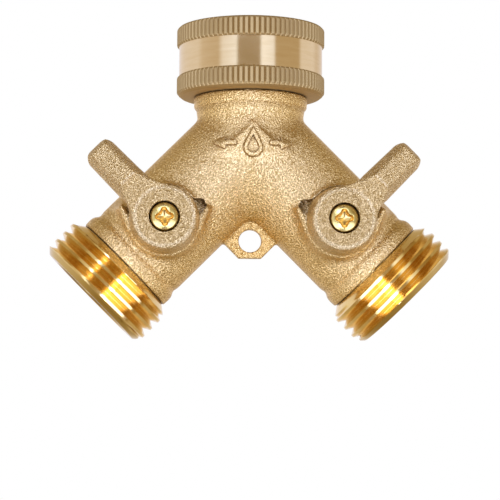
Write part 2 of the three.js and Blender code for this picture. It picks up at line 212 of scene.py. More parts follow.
def make(name, points, faces, body, slot, angle=40):
    """A piece that rides on a CAD body and stands for the CAD node of the same name."""
    mesh = bpy.data.meshes.new(name)
    points = (np.asarray(points, float) + (0, 0, LIFT)) * MM
    mesh.from_pydata(points.tolist(), [], faces if isinstance(faces, list) else faces.tolist())
    mesh.validate()
    obj = bpy.data.objects.new("look_" + name, mesh)
    bpy.context.scene.collection.objects.link(obj)
    mesh.polygons.foreach_set("use_smooth", [True] * len(mesh.polygons))
    mesh.set_sharp_from_angle(angle=math.radians(angle))
    mesh.materials.append(materials[slot])
    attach(obj, body)
    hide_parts(name)
    return obj


def revolve(rings, facets):
    """Points and faces of rings of [r, z] joined into one closed skin round Z.

    A ring's r or z may be an array with one value for each of facets + 1 angles, of which the
    first and last are the same line. Rings go anticlockwise round the section, r to the right.
    """
    angles = np.linspace(0, 2 * np.pi, facets + 1)
    cos, sin = np.cos(angles), np.sin(angles)
    rows = []
    for r, z in rings + [rings[0]]:
        r, z = np.broadcast_to(r, angles.shape), np.broadcast_to(z, angles.shape)
        rows.append(np.stack([r * cos, r * sin, z], 1))
    points = np.concatenate(rows)
    n = facets + 1
    i = np.arange(len(rows) - 1)[:, None] * n + np.arange(facets)[None, :]
    i = i.ravel()
    quads = np.stack([i, i + 1, i + 1 + n, i + n], 1)
    return weld(points, quads)


def weld(points, quads, tolerance=1e-4):
    """Joins points that coincide, and leaves out the faces and corners that this closes up."""
    cells = np.round(points / tolerance).astype(np.int64)
    keys, where = np.unique(cells, axis=0, return_inverse=True)
    where = where.ravel()
    kept = np.zeros((len(keys), 3))
    kept[where] = points
    faces = []
    for face in where[quads]:
        ring = [int(p) for i, p in enumerate(face) if p != face[i - 1]]
        if len(set(ring)) >= 3 and len(set(ring)) == len(ring):
            faces.append(ring)
    return kept, faces


def placed(points, axes, origin):
    """Local points moved to a frame whose axes are given as rows."""
    return np.asarray(points) @ np.array(axes, float) + np.array(origin, float)


def leg_axes(side):
    """Local X, Y, Z of a leg: Z out along it, Y to the back."""
    return [(-C45, 0, -side * C45), (0, 1, 0), (side * C45, 0, -C45)]


def valve_axes(side):
    """Local X, Y, Z of a valve: X along the closed lever, Z towards the viewer."""
    return [(side * C45, 0, C45), (-C45, 0, side * C45), (0, -1, 0)]


# ---------------------------------------------------------------- materials


class Nodes:
    """Short-hand for building a material's node tree."""

    def __init__(self, name):
        self.material = bpy.data.materials.new(name)
        self.material.use_nodes = True
        self.tree = self.material.node_tree
        self.shader = self.tree.nodes["Principled BSDF"]
        coords = self.add("ShaderNodeTexCoord").outputs["Object"]
        self.mm = self.vector("SCALE", coords, scale=1 / MM)

    def add(self, kind, **settings):
        node = self.tree.nodes.new(kind)
        for key, value in settings.items():
            setattr(node, key, value)
        return node

    def link(self, value, socket):
        if isinstance(value, bpy.types.NodeSocket):
            self.tree.links.new(value, socket)
        elif value is not None:
            socket.default_value = value

    def vector(self, operation, a, b=None, scale=None):
        node = self.add("ShaderNodeVectorMath", operation=operation)
        self.link(a, node.inputs[0])
        if b is not None:
            self.link(b, node.inputs[1])
        if scale is not None:
            node.inputs["Scale"].default_value = scale
        return node.outputs["Value" if operation == "LENGTH" else "Vector"]

    def math(self, operation, a, b=None):
        node = self.add("ShaderNodeMath", operation=operation)
        for value, socket in zip((a, b), node.inputs):
            self.link(value, socket)
        return node.outputs[0]

    def product(self, *values):
        total = values[0]
        for value in values[1:]:
            total = self.math("MULTIPLY", total, value)
        return total

    def away(self, value, centre=0.0):
        """How far a value is from centre."""
        return self.math("ABSOLUTE", self.math("SUBTRACT", value, centre))

    def noise(self, at, scale, detail=2.0, rough=0.5):
        node = self.add("ShaderNodeTexNoise")
        self.link(at, node.inputs["Vector"])
        for key, value in (("Scale", scale), ("Detail", detail), ("Roughness", rough)):
            node.inputs[key].default_value = value
        return node.outputs["Fac"]

    def ramp(self, value, low, high, to_low=0.0, to_high=1.0):
        node = self.add("ShaderNodeMapRange", clamp=True)
        for v, socket in zip((value, low, high, to_low, to_high), node.inputs):
            self.link(v, socket)
        return node.outputs[0]

    def mix(self, factor, a, b):
        node = self.add("ShaderNodeMix", data_type="RGBA")
        self.link(factor, node.inputs[0])
        for v, socket in ((a, node.inputs[6]), (b, node.inputs[7])):
            self.link(v if isinstance(v, bpy.types.NodeSocket) else (*v, 1), socket)
        return node.outputs[2]

    def hollow_shade(self, colour, reach, dark):
        """Painted shade: darker where other surfaces are closer than reach."""
        node = self.add("ShaderNodeAmbientOcclusion", samples=6)
        node.inputs["Distance"].default_value = reach * MM
        return self.mix(self.ramp(node.outputs["AO"], 0.25, 0.8, 0.92, 0.0), colour, dark)

    def split(self, vector):
        node = self.add("ShaderNodeSeparateXYZ")
        self.link(vector, node.inputs[0])
        return node.outputs

    def join(self, x, y, z):
        node = self.add("ShaderNodeCombineXYZ")
        for v, socket in zip((x, y, z), node.inputs):
            self.link(v, socket)
        return node.outputs[0]

    def bump(self, height, distance, strength=1.0):
        node = self.add("ShaderNodeBump")
        self.link(height, node.inputs["Height"])
        node.inputs["Distance"].default_value = distance * MM
        node.inputs["Strength"].default_value = strength
        return node.outputs["Normal"]

    def set(self, **values):
        for key, value in values.items():
            socket = self.shader.inputs[key.replace("_", " ")]
            if isinstance(value, tuple) and len(value) == 3:
                value = (*value, 1)
            self.link(value, socket)
        return self.material


def edge_highlights(n, x, y, z):
    """Painted highlight, strong on the rim of each lever's hub and on the step between its hub and arm."""
    u = n.math("SUBTRACT", n.away(x), VALVE)
    v = n.math("ADD", z, VALVE - LIFT)
    rim = n.away(n.vector("LENGTH", n.join(u, v, 0.0)), 5.85)
    rim = n.product(n.ramp(rim, 0.5, 0.1), n.ramp(y, -18.6, -19.1))
    step = n.away(n.product(n.math("ADD", u, v), C45), 10.35)
    side = n.away(n.math("SUBTRACT", u, v))
    step = n.product(n.ramp(step, 0.32, 0.12), n.ramp(side, 2.6, 2.2), n.ramp(y, -19.6, -19.9))
    return n.math("MAXIMUM", rim, step)


def painted_shade_places(n, x, y, z):
    """Painted shade, stronger round the cast mark, on the tab and in the crease under the neck's collar."""
    round_mark = n.product(n.ramp(n.away(x), 13.0, 7.0), n.ramp(z, LIFT - 7.0, LIFT - 3.5),
                           n.ramp(z, LIFT + 4.0, LIFT + 1.0, 0.0, 0.42))
    tab = n.product(n.ramp(n.away(y), 1.6, 1.2, 0.0, 0.40), n.ramp(z, LIFT - 12.0, LIFT - 15.0))
    crease = n.ramp(n.away(z, LIFT + 6.2), 0.8, 0.2, 0.0, 0.40)
    return n.math("MAXIMUM", round_mark, n.math("MAXIMUM", tab, crease))


def grain_strength(n, x, y, z):
    """How deep the grain is: more on the levers, less round the cast mark."""
    by_depth = n.ramp(y, -14.0, -15.5, 0.78, 1.1)
    mark = n.product(n.ramp(n.away(x), 10.0, 8.6), n.ramp(z, LIFT - 6.2, LIFT - 4.8),
                     n.ramp(z, LIFT + 2.8, LIFT + 1.6))
    return n.math("SUBTRACT", by_depth, n.product(mark, 0.28))


def cast_brass():
    """Blasted casting: coarse sparkling grain, duller in patches, with painted highlights on the levers'
    edges and painted shade in hollows and creases.
    """
    n = Nodes("cast_brass")
    x, y, z = n.split(n.mm)
    grain = n.noise(n.mm, 3.2)
    fine = n.noise(n.mm, 8.0, rough=0.6)
    patches = n.noise(n.mm, 0.13, 3, 0.6)
    colour = n.mix(n.ramp(grain, 0.36, 0.62), (0.50, 0.32, 0.10), (0.97, 0.76, 0.41))
    colour = n.mix(n.ramp(patches, 0.42, 0.72, 0.0, 0.25), colour, (0.66, 0.45, 0.19))
    on_lever = n.ramp(y, -13.4, -15.5, 0.0, 0.32)
    colour = n.mix(on_lever, colour, (0.46, 0.32, 0.14))
    # painted highlight on the hubs' rims and the arms' steps, broken up by the grain
    edge_highlight = n.product(edge_highlights(n, x, y, z), n.ramp(grain, 0.35, 0.55, 0.25, 0.70))
    colour = n.mix(edge_highlight, colour, (1.0, 0.84, 0.53))
    # painted shade tint: the legs' upper and lower sides go warmer and deeper than their middles
    across_leg = n.product(n.away(n.math("ADD", n.away(x), n.math("SUBTRACT", z, LIFT))), C45)
    flank = n.product(n.ramp(across_leg, 3.0, LEG_R), n.ramp(y, -13.0, -12.0))
    colour = n.mix(flank, colour, n.vector("MULTIPLY", colour, (1.04, 0.97, 0.76)))
    # painted shade round the cast mark, on the tab and along the neck's crease
    colour = n.mix(painted_shade_places(n, x, y, z), colour, (0.42, 0.27, 0.10))
    height = n.math("ADD", grain, n.product(fine, 0.35))
    relief = n.product(height, grain_strength(n, x, y, z))
    return n.set(
        # painted shade, going to dark brown, where other surfaces are within 2 mm
        Base_Color=n.hollow_shade(colour, 2.0, (0.16, 0.09, 0.03)), Metallic=1.0,
        Roughness=n.ramp(grain, 0.3, 0.7, 0.36, 0.20), Normal=n.bump(relief, 0.38),
    )


def turned_brass():
    """Satin lathe finish, with painted shade in the knurl's grooves."""
    n = Nodes("turned_brass")
    x, y, z = n.split(n.mm)
    r = n.vector("LENGTH", n.join(x, y, 0.0))
    lines = n.noise(n.join(n.product(r, 6.0), 0.0, n.product(z, 14.0)), 1.0, 2, 0.6)
    smears = n.noise(n.join(n.product(x, 0.2), n.product(y, 0.2), n.product(z, 1.6)), 1.0, 3)
    knurl = n.ramp(r, NUT_R + 0.02, NUT_R + 0.12)
    groove = n.product(n.ramp(r, NUT_R + 0.36, NUT_R + 0.06), n.ramp(r, NUT_R, NUT_R + 0.02))
    low_rim = n.ramp(z, LIFT + NUT_LOW + 0.55, LIFT + NUT_LOW + 0.4)
    colour = n.mix(n.ramp(smears, 0.3, 0.75), (0.74, 0.56, 0.31), (0.79, 0.62, 0.37))
    colour = n.mix(n.product(knurl, 0.8), colour, (0.37, 0.26, 0.10))
    # painted shade low in the knurl's grooves
    colour = n.mix(n.product(groove, 0.8), colour, (0.46, 0.32, 0.13))
    colour = n.mix(n.product(low_rim, 0.9), colour, (0.44, 0.29, 0.10))
    shine = n.ramp(smears, 0.3, 0.7, 0.10, 0.12)
    dull = n.product(n.math("MAXIMUM", knurl, low_rim), 0.50)
    return n.set(
        Base_Color=colour, Metallic=1.0, Roughness=n.math("ADD", shine, dull),
        Normal=n.bump(lines, 0.002, 0.5),
    )


def bright_brass():
    """Polished brass, browner at an outlet's mouth."""
    n = Nodes("bright_brass")
    wear = n.noise(n.mm, 0.5, 4, 0.6)
    fine = n.noise(n.mm, 9.0, 2)
    colour = n.mix(n.ramp(wear, 0.35, 0.75), (0.84, 0.60, 0.215), (0.91, 0.69, 0.34))
    x, _, z = n.split(n.mm)
    along = n.product(n.math("SUBTRACT", n.away(x), n.math("SUBTRACT", z, LIFT)), C45)
    mouth = n.ramp(along, 45.1, 45.5, 0.0, 0.8)
    colour = n.mix(mouth, colour, (0.52, 0.36, 0.11))
    return n.set(
        Base_Color=colour, Metallic=1.0, Roughness=n.ramp(wear, 0.3, 0.8, 0.10, 0.18),
        Normal=n.bump(fine, 0.004, 0.6),
    )


def screw_brass():
    """Rolled brass, warmer inside the recess."""
    n = Nodes("screw_brass")
    wear = n.noise(n.mm, 1.5, 3)
    colour = n.mix(wear, (0.57, 0.42, 0.12), (0.64, 0.52, 0.21))
    in_recess = n.ramp(n.split(n.mm)[1], -19.0, -18.2)
    colour = n.mix(in_recess, colour, (0.80, 0.57, 0.22))
    return n.set(
        Base_Color=colour, Metallic=1.0, Roughness=n.ramp(wear, 0.3, 0.7, 0.16, 0.26),
        Normal=n.bump(n.noise(n.mm, 6.0), 0.01, 0.5),
    )


def plain(name, low, high, metallic, rough, height=0.01):
    """One clouded colour between low and high, with roughness between the two in rough."""
    n = Nodes(name)
    cloud = n.noise(n.mm, 1.5, 4, 0.6)
    return n.set(
        Base_Color=n.mix(cloud, low, high), Metallic=metallic,
        Roughness=n.ramp(cloud, 0.3, 0.7, *rough), Normal=n.bump(n.noise(n.mm, 9.0, 3), height, 0.8),
    )


materials = {
    "cast_brass": cast_brass(),
    "turned_brass": turned_brass(),
    "bright_brass": bright_brass(),
    "screw_brass": screw_brass(),
    "spring_steel": plain("spring_steel", (0.35, 0.34, 0.33), (0.55, 0.54, 0.52), 1.0, (0.25, 0.4)),
    "chromed_ball": plain("chromed_ball", (0.80, 0.81, 0.83), (0.88, 0.89, 0.90), 1.0, (0.05, 0.1), 0.001),
    "white_ptfe": plain("white_ptfe", (0.80, 0.78, 0.74), (0.88, 0.87, 0.84), 0.0, (0.4, 0.55)),
    "black_rubber": plain("black_rubber", (0.012, 0.012, 0.013), (0.03, 0.03, 0.03), 0.0, (0.5, 0.75), 0.02),
}

# ---------------------------------------------------------------- the casting


def legs(x, y, z):
    """The two legs, each with a collar at its end, as if the neck were not there."""

    def leg(sign, shift):
        s, t = (sign * x - z) * C45, (sign * x + z) * C45
        return s, span(t + shift, y)

    radius = smooth_profile(
        [(0, LEG_R), (32.4, LEG_R), (33.1, 10.8), (33.6, 10.8), (34.4, 11.42), (35.3, 11.6), (LEG_END, 11.5)],
        0.25)
    # the casting is a little fuller on the inner side of each leg than its bore
    lean = smooth_profile([(0, 0.25), (33.0, 0.25), (34.8, 0.1), (LEG_END, 0.1)], 0.3)
    s, r = leg(1, 0.0)
    near = smax(leg(1, lean(s))[1] - radius(s), s - (LEG_END - 0.15), 0.3)
    s_far, r_far = leg(-1, 0.25)
    far = np.maximum(r_far - LEG_R, s_far - 30)
    return smin(np.maximum(near, -s - 1), np.maximum(far, -s_far - 1), 3.0), s, r


def neck(r_z, z):
    """The upright part, with its collar at the top."""
    radius = smooth_profile(
        [(-2, 10.8), (4.2, 10.9), (5.6, 11.2), (6.4, 11.3), (6.85, 11.75), (7.2, 11.8), (NECK_END, 11.85)],
        0.13)
    return np.maximum(smax(r_z - radius(z), z - NECK_END, 0.2), -z - 0.5)


def boss(u, v, y):
    """A valve's boss with an ear on each side, tapering towards its front."""
    ear = polygon(np.abs(u), v, [
        polar(5, -14), polar(7.6, -14), polar(9.5, 15.5), polar(9.0, 19), polar(7.3, 10), polar(5, 10)])
    outline = smin(span(u, v) - BOSS_R, ear, 0.9)
    shape = smax(outline - 0.14 * np.minimum(y + BOSS_FRONT, 6), -y - BOSS_FRONT, 1.1)
    return np.maximum(shape, y + 4)


def cast_mark(x, z):
    """A water drop between two arrows that point away from it."""
    round_part = np.abs(span(x, z + 2.8) - 1.55) - 0.42
    tip = polygon(x, z, [(-1.92, -2.3), (0, 1.4), (1.92, -2.3), (1.0, -2.3), (0, -0.35), (-1.0, -2.3)])
    drop = smin(np.maximum(round_part, z + 2.2), tip, 0.2)
    out = np.abs(x)
    shaft = polygon(out, z, [(3.3, -1.4), (6.0, -1.4), (6.0, -2.4), (3.3, -2.4)])
    head = polygon(out, z, [(5.6, -0.5), (8.4, -1.9), (5.6, -3.3)])
    return np.minimum(np.minimum(shaft, head), drop)


def passages(r_z, z, s, r):
    """The neck's bore, and each leg's bore, wider for the ball and again for the nipple."""
    way = np.maximum(r - 5.5, -s)
    way = np.minimum(way, np.maximum(r - 8.0, 18.2 - s))
    way = np.minimum(way, np.maximum(r - 9.4, 32.6 - s))
    return np.minimum(way, smax(r_z - NECK_BORE_R, -z, 2.0))


def body_casting():
    step = 0.25
    low, high = (-36, -14.2, -36), (36, BOSS_FRONT, 14.8)
    x, y, z = grid(low, high, step)
    out = np.abs(x)
    r_z = span(x, y)
    shell, s, r = legs(out, y, z)
    shell = smin(shell, neck(r_z, z), 0.9)

    u, v = out - VALVE, z + VALVE
    r_valve = span(u, v)
    shell = smin(shell, boss(u, v, y), 1.4)

    tab = polygon(out, z, [(-1, -8), (7.3, -14), (5.3, -21.6), (2.35, -LIFT), (-1, -LIFT)])
    shell = smin(shell, smax(tab, np.abs(y) - 1.1, 0.35), 0.7)
    shell = smax(shell, TAB_HOLE_R - span(x, z + 20.95), 0.3)

    # the mark stands out from the front and follows its surface
    raised = smax(shell - MARK_HEIGHT, cast_mark(x, z), 0.24)
    shell = np.where(y < 0, smin(shell, raised, 0.2), shell)

    # stub inside the nut, with the snap ring's groove
    stub = np.maximum(r_z - 10.6, np.maximum(8 - z, z - 13.9))
    stub = np.maximum(stub, -np.maximum(10.05 - r_z, np.abs(z - 12.25) - 0.6))
    shell = np.minimum(shell, stub)

    # the pocket a lever's lug swings in, a deep recess behind each ear, and the stem's hole
    swing = np.maximum(fan(u, v, **POCKET), y + POCKET_DEPTH)
    recess = polygon(np.abs(u), v, [
        polar(6.2, 12), polar(7.3, 10), polar(9.15, 20), polar(9.0, 29), polar(7.2, 40)])
    shell = smax(shell, -swing, 0.15)
    shell = smax(shell, -np.maximum(recess, y + 8.8), 0.2)
    shell = np.maximum(shell, -np.maximum(r_valve - STEM_HOLE_R, y))
    shell = np.maximum(shell, -np.maximum(r_valve - 4.3, np.maximum(y, -y - 8.9)))

    shell = smax(shell, -passages(r_z, z, s, r), 0.2)
    points, quads = net(shell, low, step)
    make("body_casting", points, quads, "body", "cast_brass", angle=50)


# ---------------------------------------------------------------- the levers and screws


def lever_mesh():
    """A round hub with one arm, local X along the arm and Z towards the viewer."""
    step = 0.16
    low, high = (-8, -8, 9.0), (20.6, 8, 21.8)
    a, b, h = grid(low, high, step)
    r = span(a, b)
    hub = smax(r - HUB_R + 0.12 * (h - 13.2), h - HUB_TOP, 1.0)
    corner = 2.0
    half = np.interp(a, [5, 9, 18.5], [3.25, 3.45, 3.25]).astype(np.float32)
    qa, qb = a - (ARM_END - corner), np.abs(b) - (half - corner)
    arm = span(np.maximum(qa, 0), np.maximum(qb, 0)) + np.minimum(np.maximum(qa, qb), 0) - corner
    flat = np.interp(a, [4.5, 7.5, 10.4], [4.6, 2.5, 1.75]).astype(np.float32)
    slope = np.maximum(np.abs(b) - flat, a - 18.5) - 0.45 * (ARM_TOP - h)
    arm = smax(np.maximum(arm, np.maximum(15.9 - h, -a)), slope * 0.93, 0.4)
    top = np.interp(a, [4.6, 9.7, 10.5], [19.2, 20.2, ARM_TOP]).astype(np.float32)
    arm = smax(arm, h - top, 0.7)
    # the arm's top stops at a step round the hub's flat face
    face = smin(smax(r - 6.2, h - HUB_TOP, 0.8), h - top, 0.15)
    whole = smax(smin(hub, arm, 2.2), face, 0.2)
    whole = np.maximum(whole, 13.15 - h)
    # under the hub, the lug that runs in the boss's pocket
    lug = fan(a, b, 5.25, 7.05, -34, 34)
    whole = np.minimum(whole, np.maximum(lug, np.maximum(9.7 - h, h - 13.6)))
    screw_seat = np.maximum(r - 3.1, 17.3 - h)
    whole = smax(whole, -screw_seat, 0.12)
    square_hole = np.maximum(np.abs(a), np.abs(b)) - 2.1
    return net(np.maximum(whole, -square_hole), low, step)


def screw_mesh():
    """A domed head with a cross recess on a plain shank, local Z towards the viewer."""
    step = 0.065
    low, high = (-2.97, -2.97, 12.0), (2.97, 2.97, 19.7)
    a, b, h = grid(low, high, step)
    r = span(a, b)
    shank = smax(np.maximum(r - SHANK_R, h - 17.8), 12.2 - h, 0.4)
    dome_r = 6.2
    dome = span(r, h - (SCREW_TOP - dome_r)) - dome_r
    head = smax(np.maximum(r - SCREW_R, 17.35 - h), dome, 0.3)
    whole = smin(head, shank, 0.1)
    deep = 19.3 - h

    def wing(along, across):
        return smax(np.abs(along) - 2.0 + 0.45 * deep, np.abs(across) - 0.5 + 0.12 * deep, 0.5)

    cross = smin(wing(a, b), wing(b, a), 1.7)
    cross = smax(cross, deep - 1.9 + 0.5 * r, 0.3)
    return net(smax(whole, -cross, 0.14), low, step)


def levers_and_screws():
    points, quads = lever_mesh()
    screw, screw_quads = screw_mesh()
    recess_turn = {"left": -41, "right": 45}
    for name, side in SIDES.items():
        origin = (side * VALVE, 0, -VALVE)
        axes = valve_axes(side)
        valve = f"{name}_valve"
        make(f"{name}_lever", placed(points, axes, origin), quads, valve, "cast_brass", 50)
        turn = math.radians(recess_turn[name])
        c, s = math.cos(turn), math.sin(turn)
        turned = screw @ np.array([[c, s, 0], [-s, c, 0], [0, 0, 1]])
        make(f"{name}_lever_screw", placed(turned, axes, origin), screw_quads, valve, "screw_brass", 40)


# ---------------------------------------------------------------- threads


def thread_rings(z0, z1, root, crest, facets, start, turns, phase, fade=0.3, flat=0.06):
    """Rings from z0 to z1 that follow a right-handed thread, at the radius root outside it.

    start is where its first crest begins, fade the part of a turn it takes to rise, and flat half
    the width of its crest as a share of the pitch.
    """
    angles = np.linspace(0, 2 * np.pi, facets + 1)
    flank = abs(crest - root) * math.tan(math.radians(30)) / PITCH
    rising = [0, flat * 0.7, flat, flat + flank * 0.12, flat + flank * 0.5, flat + flank]
    marks = rising + [0.5] + [1 - m for m in rising[:0:-1]]
    rings = []
    first = int(math.floor((z0 - start) / PITCH)) - 2
    last = int(math.ceil((z1 - start) / PITCH)) + 1
    for k in range(first, last):
        for m in marks:
            z = start + (k + m + (angles + phase) / (2 * np.pi)) * PITCH
            z = np.clip(z, z0, z1)
            r = thread_radius((z - start) / PITCH, angles, root, crest, turns, phase, flank, flat, fade)
            rings.append((r, z))
    return rings


def thread_radius(turn, angles, root, crest, turns, phase, flank, flat, fade):
    whole = turn - (angles + phase) / (2 * np.pi)
    off = np.abs(whole - np.round(whole))
    height = np.clip(1 - (off - flat) / flank, 0, 1)
    height = np.where(height > 0.88, 0.88 + 0.12 * np.sin((height - 0.88) / 0.12 * np.pi / 2), height)
    on_helix = np.round(whole) + (angles + phase) / (2 * np.pi)
    amount = np.clip(np.minimum(on_helix / fade, (turns - on_helix) / fade), 0, 1)
    amount = amount * amount * (3 - 2 * amount)
    return root + (crest - root) * height * amount


def swivel_nut():
    """Two knurled bands with a turned band between them, and a hose thread inside."""
    facets = KNURL_TEETH * 8
    angles = np.linspace(0, 2 * np.pi, facets + 1)
    wave = (angles * KNURL_TEETH / (2 * np.pi)) % 1
    off = np.abs(wave - 0.5) * 2  # 0 at the crest and 1 in the groove
    tooth = np.clip((1 - off) / 0.42, 0, 1) * (1 - 0.22 * off**2)

    def knurl(z, amount):
        return (KNURL_LAND + (KNURL_HEIGHT * amount) * tooth, z)

    rings = [(10.7, NUT_LOW), (14.45, NUT_LOW), (14.6, 9.26), (15.1, 9.65), knurl(9.72, 0.15)]
    rings += [knurl(10.05, 0.9), knurl(10.3, 1.0), knurl(10.4, 1.0), knurl(12.75, 1.0), knurl(12.85, 1.0)]
    rings += [knurl(13.1, 0.9), knurl(13.4, 0.1), *[(NUT_R, z) for z in (13.45, 13.6, 16.5, 19.4, 19.65)]]
    rings += [knurl(19.7, 0.1), knurl(20.0, 0.9), knurl(20.25, 1.0), knurl(20.35, 1.0)]
    rings += [knurl(23.0, 1.0), knurl(23.1, 1.0), knurl(23.3, 0.85)]
    rings += [(15.05, 23.64), (14.9, NUT_HIGH), (14.2, NUT_HIGH), (14.05, 23.65)]
    inner = thread_rings(11.5, 23.25, 13.6, 12.3, facets, 17.6, 2.7, 0.4)
    rings += [(13.6, 23.25)] + inner[::-1] + [(13.6, 11.5), (10.75, 11.5), (10.7, 11.4)]
    points, faces = revolve(rings, facets)
    make("swivel_nut", points, faces, "nut", "turned_brass", 28)


def nipple(name, side):
    """The thread winds out of a cone next to the casting and is turned down to a chamfer at the mouth."""
    facets = 240
    angles = np.linspace(0, 2 * np.pi, facets + 1)
    hexagon = 5.7 / np.cos((angles + np.pi / 6) % (np.pi / 3) - np.pi / 6)
    first = 37.8 if side < 0 else 38.35
    rings = [(5.9, 32.75), (8.95, 32.75), (9.25, 33.05), (9.25, 34.8), (8.0, 34.8), (8.0, 36.05)]
    rings += [(9.25, 36.05), (9.25, 37.05), (11.2, 37.05), (11.38, 37.1), (11.45, 37.2)]
    for r, z in thread_rings(37.3, 46.1, 12.1, THREAD_R, facets, first, 4.2, np.pi, 0.15, 0.13):
        widening = 11.6 + (z - 37.3) * 1.3
        cone = np.minimum(widening, 13.1) - np.clip(z - 38.45, 0, 1) * 1.73
        start = np.where(z < 38.4, np.minimum(r, widening), r)
        r = np.where(z > 39.6, r, np.maximum(start, cone))
        lip = np.minimum(12.95, 12.6 + (z - 45.2) * 1.73)
        r = np.where(z > 45.0, np.maximum(r, lip), r)
        chamfer = 12.25 + (46.35 - z) * 1.05
        rings.append((np.minimum(r, chamfer), z))
    rings += [(12.3, 46.3), (12.1, 46.4), (10.1, 46.4), (9.8, 46.15), (9.8, 40.6), (9.5, 40.1), (6.9, 38.75)]
    rings += [(hexagon, 38.4), (hexagon, 33.0)]
    points, faces = revolve(rings, facets)
    points = placed(points, leg_axes(side), (0, 0, 0))
    make(f"{name}_outlet_nipple", points, faces, "body", "bright_brass", 26)


# ---------------------------------------------------------------- small turned pieces


def ring_piece(name, profile, body, slot, axes, origin, facets=96, angle=35):
    points, faces = revolve(profile, facets)
    make(name, placed(points, axes, origin), faces, body, slot, angle)


def o_ring(name, centre, tube, body, axes, origin, at):
    turn = np.linspace(0, 2 * np.pi, 25)[:-1]
    profile = [(centre + tube * math.cos(a), at + tube * math.sin(a)) for a in turn]
    ring_piece(name, profile, body, "black_rubber", axes, origin, 72)


def inlet_washer():
    """A flat washer with three round nubs on its rim."""
    facets = 240
    nub_r, nub_at = 0.8, 12.55
    angles = np.linspace(0, 2 * np.pi, facets + 1)
    reach = np.full(facets + 1, 12.1)
    for k in range(3):
        off = (angles - math.radians(60 + 120 * k) + np.pi) % (2 * np.pi) - np.pi
        inside = nub_r**2 - (nub_at * np.sin(off)) ** 2
        nub = nub_at * np.cos(off) + np.sqrt(np.maximum(inside, 0))
        reach = np.where((inside > 0) & (np.abs(off) < 0.3), np.maximum(reach, nub), reach)
    rings = [(9.1, 14.15), (9.25, 14.0), (reach - 0.15, 14.0), (reach, 14.15)]
    rings += [(reach, 16.65), (reach - 0.15, 16.8), (9.25, 16.8), (9.1, 16.65)]
    points, faces = revolve(rings, facets)
    make("inlet_washer", points, faces, "nut", "black_rubber", 35)


def snap_ring():
    """A square wire bent round the neck, with a gap at the back."""
    steps = 120
    gap = math.radians(8)
    turns = np.linspace(gap, 2 * np.pi - gap, steps + 1) + np.pi / 2
    section = [(10.2, 11.75), (11.45, 11.75), (11.5, 11.8), (11.5, 12.7),
               (11.45, 12.75), (10.2, 12.75), (10.15, 12.7), (10.15, 11.8)]
    points = [(r * math.cos(a), r * math.sin(a), z) for a in turns for r, z in section]
    n = len(section)
    faces = []
    for i in range(steps):
        for j in range(n):
            k = (j + 1) % n
            faces.append([i * n + k, (i + 1) * n + k, (i + 1) * n + j, i * n + j])
    faces += [list(range(n)), [steps * n + j for j in range(n)][::-1]]
    make("nut_snap_ring", points, faces, "body", "spring_steel", 40)


def ball_mesh():
    """A ball bored along local X, with a slot for the stem at its front."""
    step = 0.3
    low, high = (-7.4, -7.4, -7.4), (7.4, 7.4, 7.4)
    a, b, h = grid(low, high, step)
    ball = smax(span(a, b, h) - BALL_R, PORT_R - span(b, h), 0.3)
    slot = np.maximum(np.abs(a) - 1.5, 4.6 - h)
    return net(smax(ball, -slot, 0.2), low, step)


def box(half_width, half_length, low, high):
    corners = [(sx * half_width, sy * half_length, h)
               for h in (low, high) for sx, sy in ((-1, -1), (1, -1), (1, 1), (-1, 1))]
    faces = [[3, 2, 1, 0], [4, 5, 6, 7], [0, 1, 5, 4], [1, 2, 6, 5], [2, 3, 7, 6], [3, 0, 4, 7]]
    return np.array(corners), faces


def stem_pieces(name, axes, origin, body):
    """The stem, its flange and seal grooves between the ball's tang and the lever's square."""
    stem, groove = 3.0, 2.04
    turned = [(0, 7.1), (4.1, 7.1), (4.1, 8.4), (stem, 8.4), (stem, 9.45), (groove, 9.45), (groove, 10.55),
              (stem, 10.55), (stem, 11.15), (groove, 11.15), (groove, 12.25), (stem, 12.25), (stem, 12.95),
              (0, 12.95)]
    points, faces, count = [], [], 0
    for p, f in (revolve(turned, 48), box(1.35, 3.2, 4.85, 7.2), box(2.0, 2.0, 12.9, 17.0)):
        points.append(p)
        faces += [[i + count for i in face] for face in f]
        count += len(p)
    make(f"{name}_stem", placed(np.concatenate(points), axes, origin), faces, body, "turned_brass", 30)
    for which, at in (("inner", 10.0), ("outer", 11.7)):
        o_ring(f"{name}_stem_o_ring_{which}", 2.58, 0.44, body, axes, origin, at)
    washer = [(3.06, 8.45), (4.15, 8.45), (4.2, 8.5), (4.2, 8.8), (4.15, 8.85), (3.06, 8.85)]
    ring_piece(f"{name}_stem_thrust_washer", washer, body, "white_ptfe", axes, origin, 48)


def valve_internals():
    points, quads = ball_mesh()
    for name, side in SIDES.items():
        origin = (side * VALVE, 0, -VALVE)
        axes = valve_axes(side)
        moving = f"{name}_valve"
        make(f"{name}_ball", placed(points, axes, origin), quads, moving, "chromed_ball", angle=45)
        stem_pieces(name, axes, origin, moving)
        leg, crossing = leg_axes(side), (0, 0, 0)
        hollow = [(r, math.sqrt(SEAT_R**2 - r * r)) for r in (5.9, 5.6, 5.3, 5.0)]
        seat = [(5.0, 6.95), (7.85, 6.95), (7.85, 4.2), (6.1, 4.2), *hollow]
        inner = [(r, ALONG - h) for r, h in seat]
        outer = [(r, ALONG + h) for r, h in seat[::-1]]
        for which, profile in (("outer", outer), ("inner", inner)):
            ring_piece(f"{name}_{which}_seat", profile, "body", "white_ptfe", leg, crossing, 64)
        o_ring(f"{name}_nipple_o_ring", 8.77, 0.54, "body", leg, crossing, 35.42)


body_casting()
levers_and_screws()
swivel_nut()
for side_name, side_sign in SIDES.items():
    nipple(side_name, side_sign)
inlet_washer()
snap_ring()
valve_internals()

# ---------------------------------------------------------------- stage, light, camera


